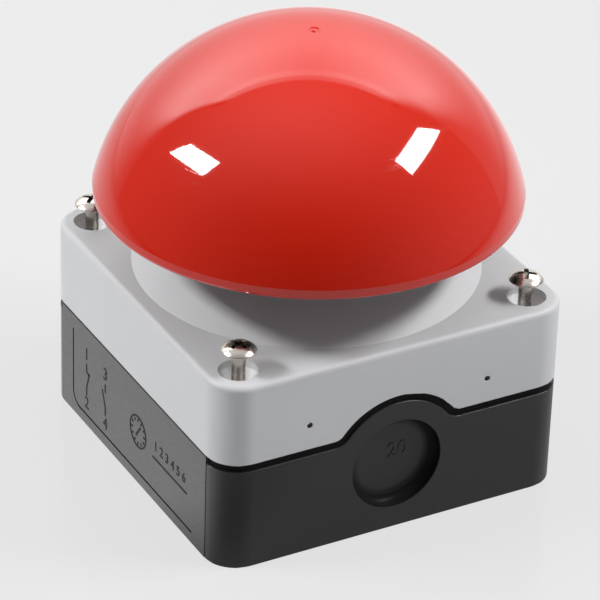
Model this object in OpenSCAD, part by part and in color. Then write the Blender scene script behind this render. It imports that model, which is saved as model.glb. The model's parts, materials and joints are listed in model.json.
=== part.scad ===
// Palm pushbutton: a large red dome on a sprung stem, over a square two-part housing
// with an opening and a closing contact block inside.
// Millimetres, +Z up, origin in the middle of the housing's underside, cable entry towards -Y.

/* [Housing] */
// Width and depth of the square housing
body_w = 80; // [78:1:96]
// Radius of the housing's upright corners
corner_r = 7.4; // [7:0.1:9]
// Height of the base's outer wall
base_h = 22.7; // [21.5:0.1:25]
// Height of the recessed seam between base and cover
seam_h = 1.6; // [1:0.1:2]
// Height of the cover's wall
cover_h = 18; // [16:0.1:24]
// Rounding of the cover's top edge
cover_edge_r = 1.3; // [0.8:0.1:1.6]
// Thickness of the base's wall
base_wall = 3; // [2.8:0.1:3.4]
// Thickness of the cover's wall
cover_wall = 1.8; // [1.5:0.1:2]
// Thickness of the base's floor
floor_t = 2.5; // [2:0.1:3.5]
// Thickness of the cover's top
top_t = 2.5; // [2:0.1:3]
// How far the base's tongue reaches up inside the cover
tongue_h = 2.2; // [1.5:0.1:3]
// How far the gasket lies behind the outer faces
gasket_inset = 0.6; // [0.4:0.1:0.8]
// Half the length of the raised panel on each side face
panel_half = 33.4; // [31:0.1:36]
// Gap between a raised panel and the cover's edge
panel_gap = 0.2; // [0.1:0.05:0.4]

/* [Cable entry] */
// Height of the cable entry's centre
entry_z = 15.2; // [14.5:0.1:17]
// Diameter of the knock-out
entry_d = 20.4; // [16:0.1:22]
// Depth of the knock-out's dish
entry_depth = 2.8; // [2.4:0.1:3.2]
// Thickness of the knock-out's web
entry_web = 1.2; // [0.8:0.1:2]
// Rounding between the recess's wall and its floor
entry_round = 2.1; // [0.8:0.1:2.4]
// Radius of the cover's arch over the cable entry
arch_r = 16.1; // [15:0.1:18]
// Radius of the arch's run-out into the straight edge
arch_run_r = 2.5; // [1.5:0.1:4]

/* [Marks and fixings] */
// Width of the engraved lines
line_w = 0.5; // [0.3:0.05:0.8]
// Depth of the engraved lines
line_depth = 0.25; // [0.15:0.05:0.4]
// Distance of the two blind dimples on the cover's front
dimple_pitch = 40.8; // [36:0.1:46]
// Height of the dimples over the cover's lower edge
dimple_rise = 5.6; // [4:0.1:9]
// Diameter of a dimple
dimple_d = 1.2; // [0.8:0.1:2]
// Depth of a dimple
dimple_depth = 0.8; // [0.4:0.1:1]
// Spacing of the wall fixing holes across the front
fix_x = 54; // [50:1:58]
// Spacing of the wall fixing holes from front to back
fix_y = 40; // [30:1:44]
// Diameter of a wall fixing hole
fix_d = 5.2; // [4.2:0.1:6]

/* [Cover screws] */
// Distance of a cover screw's axis from the housing's faces
screw_inset = 7; // [7:0.1:8]
// Thread diameter
screw_d = 3.5; // [3:0.1:4]
// Diameter of the relieved shank
shank_d = 2.8; // [2.2:0.1:2.8]
// Diameter of the head
head_d = 7.2; // [6.6:0.1:7.6]
// Height of the head
head_h = 2; // [1.8:0.1:2.8]
// How far the slack screw's head stands above the cover
screw_raise = 4.4; // [0.5:0.1:6]
// Length under the head
screw_len = 30; // [27:0.5:34]
// Length of the thread
thread_len = 12; // [10:0.5:16]
// Diameter of the well that takes the head
well_d = 8.2; // [8:0.1:8.8]
// Depth of that well
well_depth = 4.8; // [3.5:0.1:6]
// Height of the well's straight wall over its conical seat
well_wall = 1.6; // [1:0.1:2.4]

/* [Dome] */
// Diameter of the dome's rim
dome_d = 88.4; // [84:0.1:90]
// Height of the dome's rounded part over the rim band
dome_rise = 34.4; // [28:0.1:40]
// Height of the straight band at the rim
band_h = 2.4; // [1.5:0.1:4]
// Rim's height over the cover's top at rest
rim_lift = 15.7; // [13:0.1:20]
// Thickness of the dome's wall
dome_wall = 3; // [2.4:0.1:3.6]
// Count of the hub's ribs inside the dome
dome_ribs = 6; // [3:1:8]

/* [Collar and stem] */
// Radius of the collar's foot
collar_foot_r = 36.2; // [34:0.1:37]
// Radius of the collar's flat top
collar_top_r = 24; // [21:0.1:28]
// Height of the collar
collar_h = 6.8; // [5:0.1:9]
// Diameter of the stem
stem_d = 14; // [12:0.1:15]
// Travel of the dome
travel = 6; // [4:0.1:6.5]
// Outer diameter of the guide bush
bush_d = 19; // [18:0.1:21]
// Height of the nut under the collar
nut_h = 4; // [3:0.1:5]
// Depth of the stem's seat in the dome's boss
stem_seat = 10; // [8:0.5:14]
// Thickness of the push plate
plate_t = 4; // [3.4:0.1:5]

/* [Return spring] */
// Length of the fitted spring
spring_len = 15; // [14:0.1:17]
// Mean diameter of its coils
spring_d = 32; // [31:0.1:34]
// Diameter of its wire
spring_wire = 1.8; // [1.2:0.1:2]
// Count of its turns
spring_turns = 4; // [3:0.5:4.5]

/* [Contact blocks] */
// Distance between the two blocks' centres
block_pitch = 22; // [21:0.5:26]
// Width of a block with its lid
block_w = 12; // [11:0.1:13]
// Length of a block
block_len = 46; // [44:0.5:50]
// Height of a block
block_h = 20.5; // [20:0.1:22]
// Thickness of a block's walls
block_wall = 1.5; // [1.2:0.1:1.8]
// Diameter of a block's plunger
plunger_d = 6; // [5.4:0.1:6.6]
// Thickness of the contact carrier
carrier_t = 2; // [1.6:0.1:3]
// Height of the pads under the carrier
pad_h = 2; // [1.5:0.1:3]

/* [Hidden] */

$fn = 64;
// Overshoot of a cutting tool past the face that it cuts
over = 1;
// Radial clearance of a sliding fit
slide_gap = 0.06;
// Clearance between pieces that are assembled and stay put
seat_gap = 0.05;
// Clearance between the cover's wall and the base's tongue
tongue_gap = 0.1;
// Clearance around a screw or head that passes freely
free_gap = 0.2;
// Clearance between live pieces that lie beside each other
contact_gap = 0.1;

// Heights of the housing
half_w = body_w / 2;
cover_z = base_h + seam_h;
cover_top = cover_z + cover_h;
collar_top = cover_top + collar_h;
tongue_top = cover_z + tongue_h;
tongue_half = half_w - cover_wall - tongue_gap;
tower_z = tongue_top + tongue_gap;

// Cable entry and arch
entry_r = entry_d / 2;
base_arch_r = arch_r - seam_h;
base_run_r = arch_run_r + seam_h;
tongue_lap = 1.4;
tongue_arch_r = arch_r + tongue_lap;
arch_run_x = sqrt(pow(arch_r + arch_run_r, 2) - pow(cover_z + arch_run_r - entry_z, 2));
arch_margin = 3;
arch_half = arch_run_x + arch_margin;
// How far the arch's plate reaches down from the seam edge
arch_root = 5;
entry_pad_w = 2;
entry_pad_r = entry_r + entry_pad_w;
arc_steps = 24;

// Engraved frame on the left side face, measured from the panel's ends and the base's edges
line_back = 5.4;
line_front = 5.8;
line_drop = 2;
line_rise = 2.75;
line_bend_r = 3;

// Cover screws
screw_at = half_w - screw_inset;
screw_r = screw_d / 2;
head_z = cover_top + screw_raise;
well_z = cover_top - well_depth;
flange_t = 2;
retainer_w = 1.1;
retainer_r = screw_r + retainer_w;
retainer_h = 1;
retainer_z = well_z - flange_t - seat_gap - retainer_h;
insert_wall = 0.85;
insert_r = screw_r + insert_wall;
insert_len = 12;
post_wall = 2.2;
post_r = insert_r + post_wall;
tower_wall = 2;
tower_r = well_d / 2 + tower_wall;

// Dome
rim_r = dome_d / 2;
rim_z = cover_top + rim_lift;
rim_bevel = 0.4;
dome_r = (pow(rim_r, 2) + pow(dome_rise, 2)) / (2 * dome_rise);
dome_z = rim_z + band_h + dome_rise - dome_r;
dome_in_r = dome_r - dome_wall;
boss_z = collar_top + spring_len;
boss_wall = 3;
boss_r = stem_d / 2 + boss_wall;
boss_flange_w = 1.5;
boss_flange_r = (spring_d + spring_wire) / 2 + boss_flange_w;
boss_flange_t = 3;
rib_t = 2;
rib_rise = 8;
rib_z = boss_z + boss_flange_t + rib_rise;

// Stack of moving pieces, from the base's floor upwards
carrier_z = floor_t + pad_h;
block_z = carrier_z + carrier_t;
block_top = block_z + block_h;
stop_gap = 0.3;
plate_z = block_top + travel + stop_gap;
stem_z = plate_z + plate_t;
stem_r = stem_d / 2;
stem_top = boss_z + stem_seat;
clip_t = 1.2;
clip_room = 1.6;
clip_depth = 1;
clip_rim = 0.5;
clip_mouth = 8.4;
bush_z = stem_z + clip_room + clip_t;
bush_r = bush_d / 2;
bush_flange_w = 3;
bush_flange_r = bush_r + bush_flange_w;
bush_flange_t = 1.5;
collar_plate_t = 3;
nut_wall = 5.5;
plunger_r = plunger_d / 2;
plate_rim = 3;
plate_r = block_pitch / 2 + plunger_r + plate_rim;
bolt_r = 2;
bolt_head_r = 3.8;
bolt_head_h = 2.4;
bolt_grip = 8;

// Steps around a turn and sides of the wire, of the return spring and of a block's spring
spring_steps = 28;
spring_sides = 10;
coil_steps = 16;
coil_sides = 6;

// Sealing boot
boot_z = collar_top + bush_flange_t;
boot_gap = 0.6;
boot_top = boss_z - boot_gap;
boot_t = 1;
boot_folds = 2;
boot_room = 2;
boot_in_r = stem_r + boot_room;
boot_rim = 0.5;
boot_out_r = bush_flange_r + boot_rim;
boot_cuff_h = 1.6;
boot_lip_h = 1;
boot_neck_h = 1.3;
boot_fold_t = 1.6;

// Contact blocks, heights counted from a block's underside
lid_t = block_wall;
block_top_t = 2;
chamber_top = block_h - block_top_t;
terminal_room = 10.5;
chamber_half = block_len / 2 - terminal_room;
well_half = chamber_half + block_wall;
well_len = block_len / 2 - block_wall - well_half;
room_half = block_w / 2 - block_wall;
strip_t = 1;
strip_w = 4;
tip_r = 1.4;
tip_h = 0.4;
bridge_t = 0.8;
bridge_w = 3.5;
tip_inset = 5;
tip_y = chamber_half - tip_inset;
bridge_end = 2;
bridge_half = tip_y + bridge_end;
strip_room = 2;
strip_end = plunger_r + strip_room;
strip_gap = 0.5;
strip_out = block_len / 2 - block_wall - strip_gap;
bridge_room = 0.8;
no_bridge_z = chamber_top - bridge_room - bridge_t;
strip_z = no_bridge_z - travel - contact_gap - tip_h - strip_t;
nc_strip_room = 1;
nc_strip_z = chamber_top - nc_strip_room - strip_t;
nc_bridge_z = nc_strip_z - tip_h - bridge_t;
plunger_foot = 1;
peg_r = 1.3;
peg_h = 2;
coil_r = 2;
coil_wire = 0.5;
coil_turns = 6;
terminal_y = well_half + well_len / 2;
terminal_r = 1.45;
terminal_head_r = 2.6;
terminal_head_h = 2;
terminal_depth = 5;
clamp_w = 6;
clamp_t = 1;
clip_w = 6;
clip_wall = 1.5;
clip_lip = 0.9;
clip_lip_h = 1.5;
clip_lip_z = 7;
carrier_margin = 9;
carrier_rim = 1;
carrier_screw_out = 5.5;
carrier_screw_y = block_len / 2 + carrier_screw_out;
carrier_screw_r = 1.45;
carrier_head_r = 2.8;
carrier_head_h = 1.8;
pad_r = 3.5;
slot_w = 0.8;
slot_depth = 0.8;
slot_end = 0.6;
// Skin left under a blind hole in the base
skin_t = 1;

// Points along an arc from one angle to another
function arc_points(centre, r, from, to) =
    [for (i = [0 : arc_steps]) let (a = from + (to - from) * i / arc_steps)
        centre + r * [cos(a), sin(a)]];

// Outline of everything below a seam edge that rises over the cable entry in an arch:
// the arch is an arc about the entry, and each run-out is an arc that touches it and the straight edge
function below_seam(r, run_r, edge_z) =
    let (c = [0, entry_z],
        run = [arch_run_x, edge_z + run_r],
        a = atan2(run[1] - entry_z, run[0]))
    concat(
        [[-arch_half, edge_z - arch_root], [arch_half, edge_z - arch_root], [arch_half, edge_z]],
        arc_points(run, run_r, 270, 180 + a),
        arc_points(c, r, a, 180 - a),
        arc_points([-run[0], run[1]], run_r, -a, -90),
        [[-arch_half, edge_z]]);

// Box with upright corners of radius r and top edges rounded by edge_r, standing on z = 0
module soft_box(half, r, h, edge_r = 0) {
    flat = half - r;
    translate([-flat, -flat, 0])
        cube([2 * flat, 2 * flat, h]);
    for (a = [0, 90, 180, 270])
        rotate(a) {
            translate([flat, flat, 0])
                rotate_extrude(angle = 90)
                    edge_section(r, h, edge_r);
            translate([flat, flat, 0])
                rotate([90, 0, 0])
                    linear_extrude(2 * flat)
                        edge_section(r, h, edge_r);
        }
}

// Section of a wall's top: a rectangle with one rounded corner
module edge_section(w, h, edge_r) {
    if (edge_r == 0)
        square([w, h]);
    else {
        square([w - edge_r, h]);
        square([w, h - edge_r]);
        intersection() {
            translate([w - edge_r, h - edge_r])
                circle(edge_r);
            translate([w - edge_r, h - edge_r])
                square(edge_r);
        }
    }
}

// Upright ring that follows the housing's outline between two distances from its middle
module wall_ring(outer_half, inner_half, h) {
    difference() {
        soft_box(outer_half, corner_r - half_w + outer_half, h);
        translate([0, 0, -over])
            soft_box(inner_half, corner_r - half_w + inner_half, h + 2 * over);
    }
}

// Plate parallel to the front face, from the depth given inwards
module front_plate(depth, t) {
    translate([0, depth + t - half_w, 0])
        rotate([90, 0, 0])
            linear_extrude(t)
                children();
}

// Places a copy at each cover screw
module at_screws() {
    for (x = [-1, 1], y = [-1, 1])
        translate([x * screw_at, y * screw_at, 0])
            children();
}

// Repeats the children, mirrored from the back half to the front half
module both_ends() {
    for (m = [0, 1])
        mirror([0, m, 0])
            children();
}

// Places a copy at the same distance behind and in front of the middle
module at_ends(y) {
    both_ends()
        translate([0, y, 0])
            children();
}

// Moves into a block's frame: side -1 is the opening block, 1 the closing one, lid on the outside
module in_block(side) {
    translate([side * block_pitch / 2, 0, block_z])
        mirror([side < 0 ? 1 : 0, 0, 0])
            children();
}

// Helical wire between two heights, with its ends lying against the seats
module coil(r, wire, z0, z1, turns, ring_steps, sides) {
    rings = turns * ring_steps;
    low = z0 + wire / 2;
    rise = z1 - z0 - wire;
    points = [for (i = [0 : rings], j = [0 : sides - 1])
        let (a = 360 * i / ring_steps, b = 360 * j / sides, q = r + wire / 2 * cos(b))
        [q * cos(a), q * sin(a), low + rise * i / rings + wire / 2 * sin(b)]];
    skin = [for (i = [0 : rings - 1], j = [0 : sides - 1])
        let (k = (j + 1) % sides)
        [i * sides + j, i * sides + k, (i + 1) * sides + k, (i + 1) * sides + j]];
    start = [for (j = [sides - 1 : -1 : 0]) j];
    end = [for (j = [0 : sides - 1]) rings * sides + j];
    polyhedron(points, concat(skin, [start, end]));
}

// Tool that cuts a driver slot across a screw head's face
module driver_slot(head_r) {
    cube([2 * (head_r - slot_end), slot_w, 2 * slot_depth], center = true);
}

// Dish of the knock-out, seen from outside: straight wall, rounded root and flat floor
module entry_dish() {
    floor_r = entry_r - entry_round;
    translate([0, -half_w, entry_z])
        rotate([90, 0, 0])
            rotate_extrude() {
                translate([0, -entry_depth])
                    square([floor_r, entry_depth + over]);
                translate([0, entry_round - entry_depth])
                    square([entry_r, entry_depth - entry_round + over]);
                intersection() {
                    translate([floor_r, entry_round - entry_depth])
                        circle(entry_round);
                    translate([floor_r, -entry_depth])
                        square(entry_round);
                }
            }
}

// Engraved lines on the left side face: an open frame of one upright and one level line
module panel_lines() {
    line_y = panel_half - line_back;
    line_end = line_front - panel_half;
    line_top = base_h - line_drop;
    translate([-half_w, 0, 0])
        rotate([90, 0, -90])
            translate([0, 0, -line_depth])
                linear_extrude(line_depth + over) {
                    translate([-line_y - line_w / 2, line_rise + line_bend_r])
                        square([line_w, line_top - line_rise - line_bend_r]);
                    translate([-line_y + line_bend_r, line_rise - line_w / 2])
                        square([line_y - line_bend_r - line_end, line_w]);
                    translate([-line_y + line_bend_r, line_rise + line_bend_r])
                        intersection() {
                            difference() {
                                circle(line_bend_r + line_w / 2);
                                circle(line_bend_r - line_w / 2);
                            }
                            translate([-2 * line_bend_r, -2 * line_bend_r])
                                square(2 * line_bend_r);
                        }
                }
}

// Base: tray with corner posts, an inner tongue, raised side panels and the cable entry
module base_housing() {
    panel_t = gasket_inset - seat_gap;
    color("#2b2b2d")
        difference() {
            union() {
                difference() {
                    soft_box(half_w, corner_r, base_h);
                    translate([0, 0, floor_t])
                        soft_box(half_w - base_wall, corner_r - base_wall, base_h);
                }
                translate([0, 0, base_h - over])
                    wall_ring(tongue_half, half_w - base_wall, tongue_top - base_h + over);
                front_plate(0, cover_wall + tongue_gap)
                    polygon(below_seam(base_arch_r, base_run_r, base_h));
                front_plate(cover_wall + tongue_gap, base_wall - cover_wall - tongue_gap)
                    intersection() {
                        translate([0, entry_z])
                            circle(tongue_arch_r);
                        translate([-arch_half, base_h - over])
                            square([2 * arch_half, 2 * tongue_arch_r]);
                    }
                front_plate(base_wall - over, entry_depth + entry_web - base_wall + over)
                    translate([0, entry_z])
                        circle(entry_pad_r);
                intersection() {
                    for (s = [-1, 1])
                        translate([s * (half_w - panel_t / 2) - panel_t / 2, -panel_half, base_h - over])
                            cube([panel_t, 2 * panel_half, seam_h - panel_gap + over]);
                    soft_box(half_w, corner_r, cover_z);
                }
                at_screws()
                    translate([0, 0, floor_t - over])
                        cylinder(r = post_r, h = tongue_top - floor_t + over);
                at_ends(carrier_screw_y)
                    translate([0, 0, floor_t - over])
                        cylinder(r = pad_r, h = pad_h + over);
            }
            entry_dish();
            panel_lines();
            for (s = [-1, 1], e = [-1, 1])
                translate([s * half_w - line_depth, e * panel_half - line_depth / 2, -over])
                    cube([2 * line_depth, line_depth, cover_z + 2 * over]);
            at_screws() {
                translate([0, 0, tongue_top - insert_len])
                    cylinder(r = insert_r + seat_gap, h = insert_len + over);
                translate([0, 0, floor_t + skin_t])
                    cylinder(r = screw_r + free_gap, h = tongue_top);
            }
            at_ends(carrier_screw_y)
                translate([0, 0, skin_t])
                    cylinder(r = carrier_screw_r + seat_gap, h = carrier_z);
            for (x = [-1, 1], y = [-1, 1])
                translate([x * fix_x / 2, y * fix_y / 2, -over])
                    cylinder(d = fix_d, h = floor_t + 2 * over);
        }
}

// Gasket: a band in the seam that follows the arch over the cable entry
module cover_gasket() {
    outer = half_w - gasket_inset;
    inner = tongue_half + seat_gap;
    color("#161617") {
        difference() {
            translate([0, 0, base_h])
                wall_ring(outer, inner, seam_h);
            translate([-arch_half, -body_w, 0])
                cube([2 * arch_half, body_w, body_w]);
        }
        front_plate(gasket_inset, outer - inner)
            difference() {
                polygon(below_seam(arch_r, arch_run_r, cover_z));
                polygon(below_seam(base_arch_r, base_run_r, base_h));
                translate([-body_w, base_h - body_w])
                    square([2 * body_w, body_w]);
            }
    }
}

// Room for a cover screw's head: a straight wall over a conical seat
module screw_well() {
    rotate_extrude()
        polygon([[0, well_z], [screw_r + free_gap, well_z], [well_d / 2, cover_top - well_wall],
            [well_d / 2, cover_top + over], [0, cover_top + over]]);
}

// Cover: square cap with a hollow cone-shaped collar and a well over each screw
module cover() {
    collar_in_foot = collar_foot_r - top_t;
    collar_in_top = collar_top_r - top_t;
    color("#c3c5c6")
        difference() {
            union() {
                difference() {
                    translate([0, 0, cover_z])
                        soft_box(half_w, corner_r, cover_h, cover_edge_r);
                    translate([0, 0, cover_z - over])
                        soft_box(half_w - cover_wall, corner_r - cover_wall, cover_h - top_t + over);
                    cylinder(r = collar_in_foot + over, h = 2 * cover_top);
                }
                rotate_extrude()
                    polygon([[bush_r + seat_gap, collar_top], [collar_top_r, collar_top],
                        [collar_foot_r, cover_top], [collar_foot_r, cover_top - top_t],
                        [collar_in_foot, cover_top - top_t], [collar_in_top, collar_top - collar_plate_t],
                        [bush_r + seat_gap, collar_top - collar_plate_t]]);
            }
            front_plate(-over, cover_wall + 2 * over)
                polygon(below_seam(arch_r, arch_run_r, cover_z));
            at_screws()
                screw_well();
            for (s = [-1, 1])
                translate([s * dimple_pitch / 2, -half_w, cover_z + dimple_rise])
                    rotate([90, 0, 0])
                        cylinder(d = dimple_d, h = 2 * dimple_depth, center = true);
        }
}

// Towers under the cover's corners: each carries on a screw's well and keeps its ring
module cover_towers() {
    inner_half = half_w - cover_wall - seat_gap;
    color("#c3c5c6")
        difference() {
            intersection() {
                at_screws()
                    translate([0, 0, tower_z])
                        cylinder(r = tower_r, h = cover_top - top_t - seat_gap - tower_z);
                translate([0, 0, cover_z])
                    soft_box(inner_half, corner_r - half_w + inner_half, cover_h);
            }
            at_screws() {
                screw_well();
                translate([0, 0, tower_z - over])
                    cylinder(r = screw_r + free_gap, h = cover_top);
                translate([0, 0, tower_z - over])
                    cylinder(r = retainer_r + free_gap, h = well_z - flange_t - tower_z + over);
            }
        }
}

// Cover screws: pan heads with a cross recess, relieved shanks and threaded ends
module cover_screws() {
    crown = 1.6;
    crown_r = (pow(head_d / 2, 2) + pow(crown, 2)) / (2 * crown);
    recess_w = 0.9;
    recess_rim = 1.5;
    recess_depth = 1.3;
    color("#b9b5b0")
        at_screws() {
            difference() {
                translate([0, 0, head_z])
                    intersection() {
                        cylinder(d = head_d, h = head_h);
                        translate([0, 0, head_h - crown_r])
                            sphere(crown_r);
                    }
                for (a = [20, 110])
                    translate([0, 0, head_z + head_h])
                        rotate(a)
                            cube([head_d - 2 * recess_rim, recess_w, 2 * recess_depth], center = true);
            }
            translate([0, 0, head_z - screw_len + thread_len / 2])
                cylinder(d = shank_d, h = screw_len - thread_len / 2 + head_h / 4);
            translate([0, 0, head_z - screw_len])
                cylinder(d = screw_d, h = thread_len);
        }
}

// Rings that keep the slack screws in the cover
module screw_retainers() {
    color("#d8d2c0")
        at_screws()
            translate([0, 0, retainer_z])
                difference() {
                    cylinder(r = retainer_r, h = retainer_h);
                    translate([0, 0, -over])
                        cylinder(r = shank_d / 2 + seat_gap, h = retainer_h + 2 * over);
                }
}

// Brass threads in the base's corner posts
module thread_inserts() {
    color("#c9a24b")
        at_screws()
            translate([0, 0, tongue_top - insert_len])
                difference() {
                    cylinder(r = insert_r, h = insert_len);
                    translate([0, 0, -over])
                        cylinder(r = screw_r + seat_gap, h = insert_len + 2 * over);
                }
}

// Dome: spherical shell with a straight band at its rim
module palm_dome() {
    color("#d92a1f")
        difference() {
            intersection() {
                translate([0, 0, dome_z])
                    sphere(dome_r);
                union() {
                    translate([0, 0, rim_z + rim_bevel])
                        cylinder(r = rim_r, h = dome_r);
                    translate([0, 0, rim_z])
                        cylinder(r1 = rim_r - rim_bevel, r2 = rim_r, h = rim_bevel);
                }
            }
            translate([0, 0, dome_z])
                sphere(dome_in_r);
        }
}

// Hub welded into the dome: a boss on the stem, a seat for the spring, and ribs under the shell
module dome_hub() {
    color("#2b2b2d")
        difference() {
            union() {
                intersection() {
                    translate([0, 0, dome_z])
                        sphere(dome_in_r - seat_gap);
                    union() {
                        translate([0, 0, boss_z])
                            cylinder(r = boss_r, h = dome_r);
                        for (i = [0 : dome_ribs - 1])
                            rotate(360 * (i + 0.5) / dome_ribs)
                                translate([0, -rib_t / 2, rib_z])
                                    cube([dome_r, rib_t, dome_r]);
                    }
                }
                translate([0, 0, boss_z])
                    cylinder(r = boss_flange_r, h = boss_flange_t);
            }
            translate([0, 0, boss_z - over])
                cylinder(r = stem_r + seat_gap, h = stem_seat + over);
            translate([0, 0, boss_z])
                cylinder(r = bolt_r + seat_gap, h = stem_seat + bolt_grip + over);
        }
}

// Stem: bored rod that slides in the bush, with a groove for the circlip
module stem() {
    groove_r = stem_r - clip_depth;
    color("#e4e2dc")
        difference() {
            translate([0, 0, stem_z])
                cylinder(r = stem_r, h = stem_top - stem_z);
            translate([0, 0, stem_z - over])
                cylinder(r = bolt_r + seat_gap, h = stem_top);
            translate([0, 0, bush_z - clip_t - seat_gap])
                difference() {
                    cylinder(r = stem_r + over, h = clip_t + 2 * seat_gap);
                    translate([0, 0, -over])
                        cylinder(r = groove_r, h = clip_t + 2 * over);
                }
        }
}

// Long screw that clamps push plate, stem and hub together
module stem_screw() {
    color("#b9b5b0")
        difference() {
            translate([0, 0, plate_z]) {
                cylinder(r = bolt_head_r, h = bolt_head_h);
                cylinder(r = bolt_r, h = stem_top + bolt_grip - plate_z);
            }
            translate([0, 0, plate_z])
                driver_slot(bolt_head_r);
        }
}

// Push plate: disc on the stem's end that bears on both plungers
module push_plate() {
    color("#e4e2dc")
        difference() {
            translate([0, 0, plate_z])
                cylinder(r = plate_r, h = plate_t);
            translate([0, 0, plate_z - over])
                cylinder(r = bolt_r + seat_gap, h = plate_t + 2 * over);
            translate([0, 0, plate_z - over])
                cylinder(r = bolt_head_r + free_gap, h = bolt_head_h + over);
        }
}

// Circlip: open ring in the stem's groove, stopped by the bush
module stem_circlip() {
    color("#8f9296")
        translate([0, 0, bush_z - clip_t])
            difference() {
                cylinder(r = bush_r + clip_rim, h = clip_t);
                translate([0, 0, -over])
                    cylinder(r = stem_r - clip_depth + seat_gap, h = clip_t + 2 * over);
                translate([0, -clip_mouth / 2, -over])
                    cube([2 * bush_r, clip_mouth, clip_t + 2 * over]);
            }
}

// Guide bush: flanged sleeve through the collar's top
module guide_bush() {
    color("#d9d6cd")
        difference() {
            union() {
                translate([0, 0, bush_z])
                    cylinder(r = bush_r, h = collar_top - bush_z + seat_gap);
                translate([0, 0, collar_top])
                    cylinder(r = bush_flange_r, h = bush_flange_t);
            }
            translate([0, 0, bush_z - over])
                cylinder(r = stem_r + slide_gap, h = collar_top);
        }
}

// Six-sided nut that holds the bush from below
module bush_nut() {
    color("#d9d6cd")
        translate([0, 0, collar_top - collar_plate_t - nut_h])
            difference() {
                cylinder(r = bush_r + nut_wall, h = nut_h, $fn = 6);
                translate([0, 0, -over])
                    cylinder(r = bush_r + seat_gap, h = nut_h + 2 * over);
            }
}

// Return spring between the collar and the dome's boss
module return_spring() {
    color("#a7abb0")
        coil(spring_d / 2, spring_wire, collar_top, boss_z, spring_turns, spring_steps, spring_sides);
}

// Rubber boot that seals the stem against the bush
module sealing_boot() {
    fold = (boot_top - boot_z - 2 * boot_cuff_h) / (2 * boot_folds);
    low = boot_z + boot_cuff_h;
    inside = stem_r + seat_gap;
    outer_line = [for (i = [0 : 2 * boot_folds])
        [i % 2 == 0 ? boot_in_r + boot_t : boot_out_r, low + fold * i]];
    inner_line = [for (i = [2 * boot_folds : -1 : 0])
        [i % 2 == 0 ? boot_in_r : boot_out_r - boot_fold_t, low + fold * i]];
    color("#1d1d1f")
        rotate_extrude()
            polygon(concat(
                [[boot_in_r, boot_z], [boot_out_r, boot_z], [boot_out_r, boot_z + boot_lip_h]],
                outer_line,
                [[boot_in_r + boot_t, boot_top], [inside, boot_top], [inside, boot_top - boot_neck_h]],
                inner_line));
}

// Carrier: plate on two pads, with end clips that hold the contact blocks
module contact_carrier() {
    carrier_half_x = block_pitch / 2 + block_w / 2 + carrier_rim;
    color("#5d6064")
        difference() {
            union() {
                translate([-carrier_half_x, -block_len / 2 - carrier_margin, carrier_z])
                    cube([2 * carrier_half_x, block_len + 2 * carrier_margin, carrier_t]);
                for (x = [-1, 1])
                    both_ends()
                        translate([x * block_pitch / 2 - clip_w / 2, block_len / 2, carrier_z]) {
                            translate([0, seat_gap, 0])
                                cube([clip_w, clip_wall, carrier_t + clip_lip_z + clip_lip_h]);
                            translate([0, -clip_lip, carrier_t + clip_lip_z])
                                cube([clip_w, clip_lip + clip_wall, clip_lip_h]);
                        }
            }
            at_ends(carrier_screw_y)
                cylinder(r = carrier_screw_r + free_gap, h = 2 * block_z);
        }
}

// Screws that hold the carrier on its pads
module carrier_screws() {
    color("#b9b5b0")
        at_ends(carrier_screw_y)
            difference() {
                union() {
                    translate([0, 0, skin_t + free_gap])
                        cylinder(r = carrier_screw_r, h = block_z - skin_t);
                    translate([0, 0, block_z])
                        cylinder(r = carrier_head_r, h = carrier_head_h);
                }
                translate([0, 0, block_z + carrier_head_h])
                    driver_slot(carrier_head_r);
            }
}

// Housing of a contact block: open to the lid's side, with a terminal well at each end
module block_housing(tint) {
    color(tint) {
        difference() {
            translate([-block_w / 2, -block_len / 2, 0])
                cube([block_w - lid_t, block_len, block_h]);
            translate([-room_half, -chamber_half, block_wall])
                cube([2 * room_half + over, 2 * chamber_half, chamber_top - block_wall]);
            translate([0, 0, chamber_top - over])
                cylinder(r = plunger_r + slide_gap, h = block_h);
            both_ends() {
                translate([-room_half, well_half, strip_z])
                    cube([2 * room_half + over, well_len, block_h]);
                translate([-strip_w / 2 - seat_gap, chamber_half - over, strip_z])
                    cube([strip_w + 2 * seat_gap, block_wall + 2 * over, strip_t + seat_gap]);
                translate([0, terminal_y, strip_z - terminal_depth])
                    cylinder(r = terminal_r + seat_gap, h = block_h);
                translate([-clip_w / 2, block_len / 2 - clip_lip, clip_lip_z] - seat_gap * [1, 1, 1])
                    cube([clip_w + 2 * seat_gap, block_w, clip_lip_h + 2 * seat_gap]);
            }
        }
        translate([0, 0, block_wall / 2])
            cylinder(r = peg_r, h = block_wall / 2 + peg_h);
    }
}

// Side lid of a contact block
module block_lid(tint) {
    color(tint)
        translate([block_w / 2 - lid_t, -block_len / 2, 0])
            cube([lid_t, block_len, block_h]);
}

// Plunger of a contact block, slotted for its bridge, with a nub for its spring
module block_plunger(bridge_z, tint) {
    foot_z = bridge_z - plunger_foot;
    color(tint) {
        difference() {
            translate([0, 0, foot_z])
                cylinder(r = plunger_r, h = plate_z - block_z - foot_z);
            translate([-bridge_w / 2, -plunger_r - over, bridge_z])
                cube([bridge_w, 2 * (plunger_r + over), bridge_t]);
        }
        translate([0, 0, foot_z - peg_h])
            cylinder(r = peg_r, h = peg_h + plunger_foot / 2);
    }
}

// Moving contact bridge
module block_bridge(bridge_z) {
    color("#d0b070")
        translate([-bridge_w / 2, -bridge_half, bridge_z])
            cube([bridge_w, 2 * bridge_half, bridge_t]);
}

// Spring under a block's plunger
module block_spring(bridge_z) {
    color("#a7abb0")
        coil(coil_r, coil_wire, block_wall, bridge_z - plunger_foot, coil_turns, coil_steps, coil_sides);
}

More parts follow.
